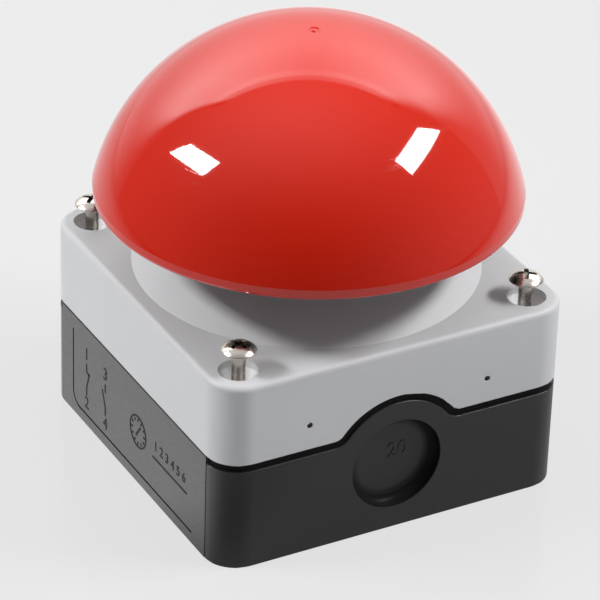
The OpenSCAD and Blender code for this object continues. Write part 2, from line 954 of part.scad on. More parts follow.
// Terminal end of a fixed contact, from the chamber's wall outwards
module contact_terminal(from_y) {
    difference() {
        translate([-strip_w / 2, from_y, strip_z])
            cube([strip_w, strip_out - from_y, strip_t]);
        translate([0, terminal_y, strip_z - over])
            cylinder(r = terminal_r + contact_gap, h = strip_t + 2 * over);
    }
}

// Fixed contacts of the opening block: stepped up, so the bridge meets them from below
module nc_contacts() {
    leg_y = chamber_half - strip_t - contact_gap;
    color("#c9a24b")
        in_block(-1)
            both_ends() {
                contact_terminal(leg_y);
                translate([-strip_w / 2, leg_y, strip_z])
                    cube([strip_w, strip_t, nc_strip_z + strip_t - strip_z]);
                translate([-strip_w / 2, strip_end, nc_strip_z])
                    cube([strip_w, leg_y + strip_t - strip_end, strip_t]);
                translate([0, tip_y, nc_strip_z - tip_h])
                    cylinder(r = tip_r, h = tip_h + strip_t / 2);
            }
}

// Fixed contacts of the closing block: level, so the bridge comes down on them
module no_contacts() {
    color("#c9a24b")
        in_block(1)
            both_ends() {
                contact_terminal(strip_end);
                translate([0, tip_y, strip_z + strip_t / 2])
                    cylinder(r = tip_r, h = tip_h + strip_t / 2);
            }
}

// Places a copy at each of the four terminals
module at_terminals() {
    for (side = [-1, 1])
        in_block(side)
            at_ends(terminal_y)
                translate([0, 0, strip_z + strip_t])
                    children();
}

// Square clamps on the terminals
module terminal_clamps() {
    color("#c2c4c6")
        at_terminals()
            difference() {
                translate([-clamp_w / 2, -clamp_w / 2, 0])
                    cube([clamp_w, clamp_w, clamp_t]);
                translate([0, 0, -over])
                    cylinder(r = terminal_r + contact_gap, h = clamp_t + 2 * over);
            }
}

// Terminal screws
module terminal_screws() {
    color("#b9b5b0")
        at_terminals()
            difference() {
                union() {
                    translate([0, 0, clamp_t])
                        cylinder(r = terminal_head_r, h = terminal_head_h);
                    translate([0, 0, free_gap - strip_t - terminal_depth])
                        cylinder(r = terminal_r, h = strip_t + terminal_depth + clamp_t);
                }
                translate([0, 0, clamp_t + terminal_head_h])
                    driver_slot(terminal_head_r);
            }
}

module nc_block() { in_block(-1) block_housing("#3a3c40"); }
module nc_block_lid() { in_block(-1) block_lid("#c8cacc"); }
module nc_plunger() { in_block(-1) block_plunger(nc_bridge_z, "#c23a2e"); }
module nc_bridge() { in_block(-1) block_bridge(nc_bridge_z); }
module nc_spring() { in_block(-1) block_spring(nc_bridge_z); }
module no_block() { in_block(1) block_housing("#3a3c40"); }
module no_block_lid() { in_block(1) block_lid("#c8cacc"); }
module no_plunger() { in_block(1) block_plunger(no_bridge_z, "#3f8f5a"); }
module no_bridge() { in_block(1) block_bridge(no_bridge_z); }
module no_spring() { in_block(1) block_spring(no_bridge_z); }

base_housing();
cover_gasket();
cover();
cover_towers();
cover_screws();
screw_retainers();
thread_inserts();
palm_dome();
dome_hub();
stem();
stem_screw();
push_plate();
stem_circlip();
guide_bush();
bush_nut();
return_spring();
sealing_boot();
contact_carrier();
carrier_screws();
nc_block();
nc_block_lid();
nc_plunger();
nc_bridge();
nc_spring();
nc_contacts();
no_block();
no_block_lid();
no_plunger();
no_bridge();
no_spring();
no_contacts();
terminal_clamps();
terminal_screws();
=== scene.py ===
"""Palm pushbutton: finished surfaces, materials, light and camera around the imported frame.

Lengths inside the functions are millimetres in the frame's own axes, and meshes are written in metres.
"""

import json
import math

import bmesh
import bpy
import numpy as np
from mathutils import Matrix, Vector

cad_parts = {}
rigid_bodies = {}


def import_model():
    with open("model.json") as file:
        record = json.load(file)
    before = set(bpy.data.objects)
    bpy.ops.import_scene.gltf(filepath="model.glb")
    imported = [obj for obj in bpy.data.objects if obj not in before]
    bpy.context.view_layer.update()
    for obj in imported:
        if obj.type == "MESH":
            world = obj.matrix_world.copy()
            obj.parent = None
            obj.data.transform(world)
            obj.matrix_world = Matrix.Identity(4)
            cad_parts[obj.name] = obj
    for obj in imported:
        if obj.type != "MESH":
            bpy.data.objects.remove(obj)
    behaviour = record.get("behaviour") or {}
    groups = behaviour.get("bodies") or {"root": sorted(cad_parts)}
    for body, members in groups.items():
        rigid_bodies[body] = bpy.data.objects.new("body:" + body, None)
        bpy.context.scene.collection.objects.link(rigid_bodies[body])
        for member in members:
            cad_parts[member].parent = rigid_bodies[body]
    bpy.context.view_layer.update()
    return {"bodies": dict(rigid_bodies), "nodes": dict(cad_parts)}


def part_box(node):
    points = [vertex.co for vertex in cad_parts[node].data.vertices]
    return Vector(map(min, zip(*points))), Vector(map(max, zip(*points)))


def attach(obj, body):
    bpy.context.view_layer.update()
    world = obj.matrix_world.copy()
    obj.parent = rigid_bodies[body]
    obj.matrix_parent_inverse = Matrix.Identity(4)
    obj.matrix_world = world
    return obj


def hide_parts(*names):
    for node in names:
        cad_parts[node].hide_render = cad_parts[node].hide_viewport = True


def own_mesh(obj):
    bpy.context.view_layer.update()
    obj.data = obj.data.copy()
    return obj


bl_info = {
    "name": "Palm pushbutton finish",
    "version": (1, 0, 0),
    "blender": (4, 5, 0),
    "location": "View3D > Sidebar > Pushbutton",
    "description": "Finished surfaces, materials, light and camera for a palm pushbutton",
    "category": "Object",
}

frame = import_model()
MM = 0.001
TAU = 2 * math.pi
# Level directions to the viewer's right and away from the viewer.
BESIDE = np.array([0.872, -0.489, 0.0])
BEHIND = np.array([0.489, 0.872, 0.0])
# Pale tone behind the part, and its share in what is seen of the floor.
BACKGROUND = (0.815, 0.815, 0.82, 1.0)
FLOOR_EVEN = 0.8
# Height of the lit sheet in metres, and the share of its light that matt surfaces get.
SHEET_TOP = 2.0
SHEET_MATT = 0.15
# The softboxes: centre, long axis, short axis, sizes in millimetres and radiance of the face.
SOFTBOXES = {
    "left_softbox": ((-458, 210, 414), (0.144, -0.989, 0.024), (-0.372, -0.032, 0.928), (282, 184), 45),
    "right_softbox": ((401, -213, 466), (-0.731, -0.68, -0.058), (-0.22, 0.316, -0.923), (310, 225), 39.6),
}
# Height of the cable entry's axis and radius of the cover screws' heads, in millimetres.
ENTRY_Z = 15.2
HEAD_R = 3.6


def linear(code):
    """Linear RGBA of an sRGB hex colour."""
    c = np.array([int(code[i : i + 2], 16) for i in (1, 3, 5)]) / 255
    c = np.where(c <= 0.04045, c / 12.92, ((c + 0.055) / 1.055) ** 2.4)
    return (*c.tolist(), 1.0)


def box_mm(node):
    """Lowest and highest corner of a CAD node, in millimetres."""
    low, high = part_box(node)
    return np.array(low) / MM, np.array(high) / MM


def screw_at():
    """Distance of the cover screws from the middle along x and y, in millimetres."""
    return box_mm("cover_screws")[1][0] - HEAD_R


def length(name, text, mm):
    """A length property with its default in millimetres."""
    return bpy.props.FloatProperty(
        name=name, description=text, default=mm * MM, min=0, unit="LENGTH", precision=5
    )


def colour(name, text, code):
    """A colour property with an sRGB hex default."""
    return bpy.props.FloatVectorProperty(
        name=name, description=text, default=linear(code), size=4, min=0, max=1, subtype="COLOR"
    )


class PushbuttonSizes(bpy.types.PropertyGroup):
    """Sizes that a user would change."""

    dome_band: length("Rim band", "Height of the straight band at the dome's rim", 2.4)
    dome_wall: length("Dome wall", "Thickness of the dome's wall", 3.0)
    dome_rim_round: length("Rim round", "Rounding of the dome's lower edge", 1.0)
    edge_round: length("Edge round", "Rounding of the housing's moulded edges", 0.22)
    thread_pitch: length("Thread pitch", "Pitch of the cover screws' thread", 0.6)
    spring_wire: length("Spring wire", "Diameter of the return spring's wire", 1.8)
    coil_wire: length("Block spring wire", "Diameter of the contact springs' wire", 0.5)
    boot_wall: length("Boot wall", "Thickness of the sealing boot's wall", 1.0)
    mark_line: length("Mark line", "Width of the lines of the side marks", 0.42)
    mark_height: length("Mark numerals", "Height of the numerals of the side marks", 2.9)


class PushbuttonColours(bpy.types.PropertyGroup):
    """Colours that a user would change."""

    dome: colour("Dome", "Gloss red of the dome", "#c31d05")
    lining: colour("Lining", "Pale inside of the dome", "#d8cccb")
    cover: colour("Cover", "Light grey of the cover", "#c6c7c9")
    # Painted light: a paler tone laid inside the screw wells, in place of light that comes in through their
    # walls.
    well: colour("Wells", "Thin walls of the screw wells, which let light through", "#e8e9eb")
    base: colour("Base", "Black of the base", "#1c1c1e")
    rubber: colour("Rubber", "Black of gasket and boot", "#111112")
    ink: colour("Marks", "Black of the side marks", "#0a0a0b")
    nickel: colour("Nickel", "Nickel plating of the screws", "#d2cbc2")
    # Painted shade: a dark metal tone laid in the screws' recesses and on their shanks, where shade and dark
    # reflections fall.
    grime: colour("Grime", "Dull metal in the screws' recesses and on their shanks", "#6a625d")
    spring: colour("Spring wire", "Drawn spring steel", "#a3a5a8")
    brass: colour("Brass", "Brass inserts", "#c9a35a")
    contact: colour("Contacts", "Contact alloy", "#d0b483")
    natural: colour("Natural plastic", "Uncoloured polyamide", "#dcd8cb")
    block: colour("Blocks", "Dark grey contact blocks", "#3c3e42")
    lid: colour("Lids", "Pale lids of the blocks", "#c6c8ca")
    opening: colour("Opening plunger", "Red plunger of the opening block", "#b53a2f")
    closing: colour("Closing plunger", "Green plunger of the closing block", "#3f8a58")
    floor: colour("Floor", "Pale floor", "#d4d4d5")


def sizes():
    """The sizes in millimetres, by name."""
    group = bpy.context.scene.pushbutton_sizes
    return {name: getattr(group, name) / MM for name in PushbuttonSizes.__annotations__}


def colours():
    """The scene's colour group."""
    return bpy.context.scene.pushbutton_colours


def add(tree, kind, inputs=(), **settings):
    """Adds one shader node: settings go on the node, and inputs give a socket a value or another output."""
    made = tree.nodes.new(kind)
    for name, value in settings.items():
        setattr(made, name, value)
    for socket, value in dict(inputs).items():
        if isinstance(value, bpy.types.NodeSocket):
            tree.links.new(value, made.inputs[socket])
        else:
            made.inputs[socket].default_value = value
    return made


def new_material(name):
    """Empty node material with its tree and its Object coordinates."""
    made = bpy.data.materials.new(name)
    made.use_nodes = True
    made.node_tree.nodes.clear()
    return made, made.node_tree, add(made.node_tree, "ShaderNodeTexCoord").outputs["Object"]


def close_material(tree, sockets):
    """Ends a material in one Principled shader with these sockets."""
    skin = add(tree, "ShaderNodeBsdfPrincipled", sockets)
    add(tree, "ShaderNodeOutputMaterial", {"Surface": skin.outputs["BSDF"]})


def noise(tree, place, size_mm, detail=2.0):
    """Output of a noise whose patches are about size_mm across."""
    return add(
        tree, "ShaderNodeTexNoise", {"Vector": place, "Scale": 1 / (size_mm * MM), "Detail": detail}
    ).outputs["Fac"]


def calc(tree, operation, *values):
    """Output of one Math node."""
    return add(tree, "ShaderNodeMath", dict(enumerate(values)), operation=operation).outputs[0]


def vector(tree, operation, *values):
    """Output of one Vector Math node: a number for a dot product, distance or length, else a vector."""
    made = add(tree, "ShaderNodeVectorMath", dict(enumerate(values)), operation=operation)
    return made.outputs["Value" if operation in ("DOT_PRODUCT", "DISTANCE", "LENGTH") else "Vector"]


def blend(tree, share, one, other):
    """Colour that goes from one to the other as share runs from 0 to 1."""
    return add(tree, "ShaderNodeMix", {0: share, 6: one, 7: other}, data_type="RGBA").outputs[2]


def between(tree, value, low, high, start=0.3, end=0.7, curve="LINEAR"):
    """A value spread from start..end to low..high, in a straight line or a smooth step."""
    return add(
        tree,
        "ShaderNodeMapRange",
        {"Value": value, "From Min": start, "From Max": end, "To Min": low, "To Max": high},
        interpolation_type=curve,
    ).outputs["Result"]


def tinted(tree, value, tone, drift):
    """Colour that drifts by a share to either side of a tone as value runs from 0 to 1."""
    dark, light = ([min(1.0, c * k) for c in tone[:3]] + [1.0] for k in (1 - drift, 1 + drift))
    return blend(tree, value, dark, light)


def entry_wall(tree, place):
    """1 on the rounded wall of the cable entry's recess, 0 elsewhere."""
    away = vector(tree, "DISTANCE", vector(tree, "MULTIPLY", place, (1, 0, 1)), (0, 0, ENTRY_Z * MM))
    deep = add(tree, "ShaderNodeSeparateXYZ", {0: place}).outputs["Y"]
    mask = 1.0
    # Its limits in millimetres: inner and outer radius, the front face and the back of the recess.
    for value, low, high, start, end in (
        (away, 0, 1, 7.4, 9.0),
        (away, 1, 0, 10.3, 10.4),
        (deep, 0, 1, -39.95, -39.75),
        (deep, 1, 0, -35, -34),
    ):
        mask = calc(tree, "MULTIPLY", mask, between(tree, value, low, high, start * MM, end * MM))
    return mask


def screw_wells(tree, place):
    """1 inside the wells of the four cover screws, where the cover's colour is painted paler as painted
    light, 0 elsewhere.
    """
    corner = vector(tree, "MULTIPLY", vector(tree, "ABSOLUTE", place), (1, 1, 0))
    away = vector(tree, "DISTANCE", corner, (screw_at() * MM, screw_at() * MM, 0))
    wall = 4.11 * MM
    return between(tree, away, 1, 0, wall, wall + 0.05 * MM)


def moulded_plastic(name, tone, gloss, grain_mm, grain_depth, drift=0.03, dull=None, painted_light=None):
    """Plastic from an eroded steel mould.

    The eye gets one even colour that drifts slightly over centimetres, and a fine grain that
    breaks the gloss. Real grit is about 0.1 mm; it is drawn at grain_mm so that it shows.
    Where dull gives 1 the mould was left rough, and the eye sees no gloss. The last argument is a mask
    and a tone: where the mask gives 1 the colour is painted paler, as painted light that stands for light
    coming in through the walls of a hollow.
    """
    made, tree, place = new_material(name)
    cloud = noise(tree, place, 16, 3)
    grain = noise(tree, place, grain_mm)
    bump = add(tree, "ShaderNodeBump", {"Height": grain, "Distance": grain_depth * MM})
    skin = tinted(tree, cloud, tone, drift)
    if painted_light:
        # Painted light: where the mask gives 1 the colour is painted paler.
        mask, pale = painted_light
        skin = blend(tree, mask(tree, place), skin, pale)
    sockets = {
        "Base Color": skin,
        "Roughness": between(tree, grain, gloss - 0.04, gloss + 0.04),
        "IOR": 1.5,
        "Normal": bump.outputs["Normal"],
    }
    if dull:
        sockets["Specular IOR Level"] = between(tree, dull(tree, place), 0.5, 0.04, 0, 1)
    close_material(tree, sockets)
    return made


def polished_red_abs(tone, lining):
    """ABS from a polished mould, worn by palms.

    The eye gets a deep gloss with crisp reflections, dulled in places by hair-fine scratches
    that run mostly level round the dome, and a colour that hardly changes. Inside, by the points'
    attribute "shade", it gets a pale lining that throws no red on the cover. Scratches are level
    lines of a noise with flat cells: 0.06 mm wide they would vanish, so they are drawn 0.2 mm wide.
    """
    made, tree, place = new_material("polished_red_abs")
    cloud = noise(tree, place, 25, 3)
    worn = between(tree, noise(tree, place, 9, 3), 0, 1, 0.56, 0.66)
    cell = [1 / (size * MM) for size in (26, 34, 1.5)]
    scratch = 0.0
    for turn in ((0.10, 0.0, 0.5), (1.1, 0.35, 0.2)):
        laid = add(tree, "ShaderNodeMapping", {"Vector": place, "Rotation": turn, "Scale": cell})
        hair = add(
            tree, "ShaderNodeTexNoise", {"Vector": laid.outputs["Vector"], "Scale": 1.0, "Detail": 0.0}
        )
        line = calc(tree, "COMPARE", hair.outputs["Fac"], 0.5, 0.008)
        scratch = calc(tree, "MAXIMUM", scratch, line)
    scratch = calc(tree, "MULTIPLY", scratch, worn)
    bump = add(tree, "ShaderNodeBump", {"Height": scratch, "Distance": 0.001 * MM})
    inside = add(tree, "ShaderNodeAttribute", attribute_name="shade").outputs["Fac"]
    close_material(
        tree,
        {
            "Base Color": blend(tree, inside, tinted(tree, cloud, tone, 0.02), lining),
            "Roughness": between(tree, scratch, 0.045, 0.15, 0, 1),
            "IOR": 1.54,
            "Normal": bump.outputs["Normal"],
        },
    )
    return made


def soft_rubber(tone):
    """Moulded nitrile rubber: dull black with a fine bloom that greys it in patches."""
    made, tree, place = new_material("moulded_nitrile_rubber")
    bloom = noise(tree, place, 3, 4)
    bump = add(tree, "ShaderNodeBump", {"Height": noise(tree, place, 0.5), "Distance": 0.01 * MM})
    close_material(
        tree,
        {
            "Base Color": tinted(tree, bloom, tone, 0.25),
            "Roughness": between(tree, bloom, 0.6, 0.75),
            "Specular IOR Level": 0.15,
            "Normal": bump.outputs["Normal"],
        },
    )
    return made


def bright_metal(name, tone, gloss, grain_mm, drift=0.05, grime=None):
    """Plated, drawn or stamped metal: mirror reflections softened by grain_mm wide marks of making.

    Where a tone for painted shade is given, the points' attribute "shade" lays it on as painted shade:
    dark metal in hollows and on shaded parts.
    """
    made, tree, place = new_material(name)
    traces = noise(tree, place, grain_mm, 3)
    bump = add(tree, "ShaderNodeBump", {"Height": traces, "Distance": 0.004 * MM})
    skin = tinted(tree, noise(tree, place, 4, 2), tone, drift)
    if grime:
        dull = add(tree, "ShaderNodeAttribute", attribute_name="shade").outputs["Fac"]
        skin = blend(tree, dull, skin, grime)
    close_material(
        tree,
        {
            "Base Color": skin,
            "Metallic": 1.0,
            "Roughness": between(tree, traces, gloss * 0.7, gloss * 1.3),
            "Normal": bump.outputs["Normal"],
        },
    )
    return made


MATERIALS = {}


def material(name):
    """The finish of this name, made when it is first asked for."""
    if name in MATERIALS:
        return MATERIALS[name]
    c = colours()
    makers = {
        "dome": lambda: polished_red_abs(c.dome, c.lining),
        # Polycarbonate with a spark-eroded face: soft sheen, no mirror.
        "cover": lambda: moulded_plastic(
            # Inside the screw wells the colour is painted paler: painted light.
            "eroded_grey_polycarbonate", c.cover, 0.46, 0.5, 0.006, 0.015, painted_light=(screw_wells, c.well)
        ),
        # Glass-filled polyamide with a satin face: it mirrors the pale floor as a grey veil.
        "base": lambda: moulded_plastic(
            "satin_black_polyamide", c.base, 0.36, 0.6, 0.006, 0.06, dull=entry_wall
        ),
        "natural": lambda: moulded_plastic("natural_polyamide", c.natural, 0.42, 0.7, 0.005),
        "block": lambda: moulded_plastic("dark_block_polyamide", c.block, 0.5, 0.6, 0.01),
        "lid": lambda: moulded_plastic("pale_lid_polycarbonate", c.lid, 0.4, 0.6, 0.006),
        "opening": lambda: moulded_plastic("red_plunger_polyacetal", c.opening, 0.38, 0.7, 0.004),
        "closing": lambda: moulded_plastic("green_plunger_polyacetal", c.closing, 0.38, 0.7, 0.004),
        # Pad-printed marks: a dry film that throws back little of the floor's light.
        "ink": lambda: moulded_plastic("pad_printed_ink", c.ink, 0.8, 0.3, 0.004),
        "rubber": lambda: soft_rubber(c.rubber),
        "nickel": lambda: bright_metal("nickel_plated_steel", c.nickel, 0.16, 0.7),
        # Driven screws: their recesses and shanks get painted shade through the points' attribute.
        "screw": lambda: bright_metal("driven_nickel_plated_steel", c.nickel, 0.24, 0.7, 0.05, c.grime),
        "spring": lambda: bright_metal("drawn_spring_steel", c.spring, 0.28, 0.4, 0.1),
        "brass": lambda: bright_metal("turned_brass", c.brass, 0.25, 0.3),
        "contact": lambda: bright_metal("stamped_contact_alloy", c.contact, 0.3, 0.5),
    }
    MATERIALS[name] = makers[name]()
    return MATERIALS[name]


def ease(x):
    """Smooth step: 3t^2 - 2t^3 for t = x held between 0 and 1."""
    t = np.clip(x, 0, 1)
    return t * t * (3 - 2 * t)


def arc(centre, radius, start, end, steps):
    """Points centre + radius (cos a, sin a) for a from start to end, in degrees."""
    a = np.radians(np.linspace(start, end, steps))
    return np.stack([centre[0] + radius * np.cos(a), centre[1] + radius * np.sin(a)], 1)


def turned(profile, steps):
    """Surface of revolution: profile point (r, z) goes round the Z axis as (r cos a, r sin a, z)."""
    a = np.linspace(0, TAU, steps, endpoint=False)
    r, z = profile[:, :1], profile[:, 1:]
    return np.stack([r * np.cos(a), r * np.sin(a), z + 0 * a], -1)


def wire(radius, thick, low, high, turns, steps, sides, flat=0.7):
    """Coil of round wire: the centre line is (R cos a, R sin a, h(a)), and a circle stands across it.

    h rises slowly over the first and last flat turns, so that both ends lie on their seats.
    """
    a = np.linspace(0, TAU * turns, int(turns * steps) + 1)
    t = a / TAU
    slow = 0.12
    rate = slow + (1 - slow) * ease(t / flat) * ease((turns - t) / flat)
    rise = np.concatenate([[0], np.cumsum((rate[1:] + rate[:-1]) / 2)])
    h = low + thick / 2 + (high - low - thick) * rise / rise[-1]
    line = np.stack([radius * np.cos(a), radius * np.sin(a), h], 1)
    along = np.gradient(line, axis=0)
    along /= np.linalg.norm(along, axis=1, keepdims=True)
    out = np.stack([np.cos(a), np.sin(a), 0 * a], 1)
    side = np.cross(along, out)
    b = np.linspace(0, TAU, sides, endpoint=False)[None, :, None]
    return line[:, None] + thick / 2 * (np.cos(b) * out[:, None] + np.sin(b) * side[:, None])


def grid_mesh(name, grids):
    """Mesh from grids of points. A grid is (points, joined rows, joined columns, capped ends).

    Quads join neighbours in a grid.
    """
    points, faces, start = [], [], 0
    for grid, join_rows, join_columns, capped in grids:
        rows, columns = grid.shape[:2]
        index = np.arange(rows * columns).reshape(rows, columns) + start
        if capped:
            faces += [index[0].tolist(), index[-1, ::-1].tolist()]
        if join_rows:
            index = np.vstack([index, index[:1]])
        if join_columns:
            index = np.hstack([index, index[:, :1]])
        quads = np.stack([index[:-1, :-1], index[1:, :-1], index[1:, 1:], index[:-1, 1:]], -1)
        faces += quads.reshape(-1, 4).tolist()
        points.append(grid.reshape(-1, 3))
        start += rows * columns
    mesh = bpy.data.meshes.new(name)
    mesh.from_pydata((np.vstack(points) * MM).tolist(), [], faces)
    return mesh


def piece(name, grids, finish, sharp=35, shade=None):
    """Object from grids of points, as grid_mesh takes them.

    shade is one number per point that the finish may read as the attribute "shade".
    """
    mesh = grid_mesh(name, grids)
    if shade is not None:
        values = mesh.attributes.new("shade", "FLOAT", "POINT").data
        values.foreach_set("value", shade.astype(np.float32))
    return shown(name, mesh, finish, sharp)


def shown(name, mesh, finish, sharp=35):
    """Puts a mesh into the scene, welded at poles and seams, facing outwards and smooth up to an angle."""
    work = bmesh.new()
    work.from_mesh(mesh)
    bmesh.ops.remove_doubles(work, verts=work.verts, dist=1e-7)
    bmesh.ops.recalc_face_normals(work, faces=work.faces)
    work.to_mesh(mesh)
    work.free()
    mesh.shade_smooth()
    mesh.set_sharp_from_angle(angle=math.radians(sharp))
    mesh.materials.append(material(finish))
    made = bpy.data.objects.new(name, mesh)
    bpy.context.scene.collection.objects.link(made)
    return made


def edge_facts(mesh):
    """For each edge of a closed mesh: its middle in millimetres, the angle across it and if it is convex.

    The two faces of an edge are found by sorting the face corners by edge. An edge is convex where the
    second face's middle lies below the first face's plane.
    """
    corners, count = len(mesh.loops), len(mesh.polygons)
    edge_of = np.empty(corners, int)
    mesh.loops.foreach_get("edge_index", edge_of)
    total = np.empty(count, int)
    mesh.polygons.foreach_get("loop_total", total)
    normal, middle = np.empty(count * 3), np.empty(count * 3)
    mesh.polygons.foreach_get("normal", normal)
    mesh.polygons.foreach_get("center", middle)
    normal, middle = normal.reshape(-1, 3), middle.reshape(-1, 3)
    face_of = np.repeat(np.arange(count), total)[np.argsort(edge_of, kind="stable")]
    first = np.searchsorted(np.sort(edge_of), np.arange(len(mesh.edges)))
    one, two = face_of[first], face_of[np.minimum(first + 1, corners - 1)]
    angle = np.degrees(np.arccos(np.clip((normal[one] * normal[two]).sum(1), -1, 1)))
    convex = ((middle[two] - middle[one]) * normal[one]).sum(1) < 0
    ends = np.empty(len(mesh.edges) * 2, int)
    mesh.edges.foreach_get("vertices", ends)
    co = np.empty(len(mesh.vertices) * 3)
    mesh.vertices.foreach_get("co", co)
    return co.reshape(-1, 3)[ends.reshape(-1, 2)].mean(1) / MM, angle, convex


def eased_copy(node, name, finish, chosen, width):
    """Copy of a CAD node whose chosen convex edges get a small round.

    The triangles are merged and flat areas joined first. chosen takes the edges' middles and says which
    to round. Edges that bend less than a corner stay as they are.
    """
    # The weld in metres, and in degrees what counts as flat, as a corner and as smooth.
    weld, flat, corner, smooth = 2e-6, 0.2, 40, 28
    mesh = frame["nodes"][node].data.copy()
    mesh.name = name
    mesh.materials.clear()
    work = bmesh.new()
    work.from_mesh(mesh)
    bmesh.ops.remove_doubles(work, verts=work.verts, dist=weld)
    bmesh.ops.dissolve_limit(
        work, angle_limit=math.radians(flat), verts=work.verts, edges=work.edges, delimit={"NORMAL"}
    )
    work.to_mesh(mesh)
    work.free()
    if "custom_normal" in mesh.attributes:
        mesh.attributes.remove(mesh.attributes["custom_normal"])
    middle, angle, convex = edge_facts(mesh)
    weight = (convex & (angle > corner) & chosen(middle)).astype(np.float32)
    mesh.attributes.new("bevel_weight_edge", "FLOAT", "EDGE").data.foreach_set("value", weight)
    made = shown(name, mesh, finish, smooth)
    rounding = made.modifiers.new("moulded_edges", "BEVEL")
    rounding.limit_method = "WEIGHT"
    rounding.width = width * MM
    rounding.segments = 3
    rounding.use_clamp_overlap = False
    rounding.harden_normals = True
    return made


def dome_profile(s):
    """Section of the dome from its outer top, down outside, round the rim and up inside.

    The outside is an arc of radius (r^2 + h^2) / 2h over a rim of radius r and a rise h, and the inside is
    concentric with it. At the top a gate mark is sunk: a flat ring and a stub in its middle. Also gives 0
    for each point outside and 1 for each inside.
    """
    low, high = box_mm("palm_dome")
    rim, bottom, top = min(high[0], high[1]), low[2], high[2]
    band = bottom + s["dome_band"]
    rise = top - band
    outer = (rim**2 + rise**2) / (2 * rise)
    inner, centre = outer - s["dome_wall"], top - outer
    end = math.asin(rim / outer)
    gate_end = 4.6 / outer
    # Rows stand close in the gate mark, and where the arc meets the straight band.
    polar = np.concatenate(
        [
            np.linspace(0, gate_end, 30, endpoint=False),
            np.linspace(gate_end, end - 0.3 / outer, 78),
            [end - 0.12 / outer, end],
        ]
    )
    outside = np.stack([outer * np.sin(polar), centre + outer * np.cos(polar)], 1)
    r = outside[:, 0].copy()
    # The gate mark's steps: how far each goes up, its radius and the width of its slope.
    for lift, edge, slope in ((-0.08, 3.6, 0.5), (-0.24, 1.35, 0.3), (0.3, 0.75, 0.3)):
        outside[:, 1] += lift * ease((edge - r) / slope)
    soft = s["dome_rim_round"]
    heights = np.array([band - 0.12, band - 0.35, band - 1.2, bottom + soft])
    wall = np.stack([np.full(len(heights), rim), heights], 1)
    rounded = arc((rim - soft, bottom + soft), soft, 0, -90, 7)[1:]
    open_r = math.sqrt(inner**2 - (bottom - centre) ** 2)
    lip = np.array([[rim - 1.3, bottom], [open_r + 0.4, bottom], [open_r + 0.15, bottom + 0.06]])
    back = np.linspace(math.acos((bottom + 0.35 - centre) / inner), 0, 44)
    inside = np.stack([inner * np.sin(back), centre + inner * np.cos(back)], 1)
    skin = np.vstack([outside, wall, rounded, lip])
    return np.vstack([skin, inside]), np.repeat([0.0, 1.0], [len(skin), len(inside)])


def cross_recess(u, v):
    """Depth of a driver recess at (u, v): two crossed slots that deepen towards the middle."""
    half_long, half_wide, deepest, slope = 2.1, 0.5, 1.25, 0.34
    end_wall, side_wall = 0.3, 0.14

    def slot(along, across):
        return ease((half_long - abs(along)) / end_wall) * ease((half_wide - abs(across)) / side_wall)

    return (deepest - slope * np.hypot(u, v)) * np.maximum(slot(u, v), slot(v, u))


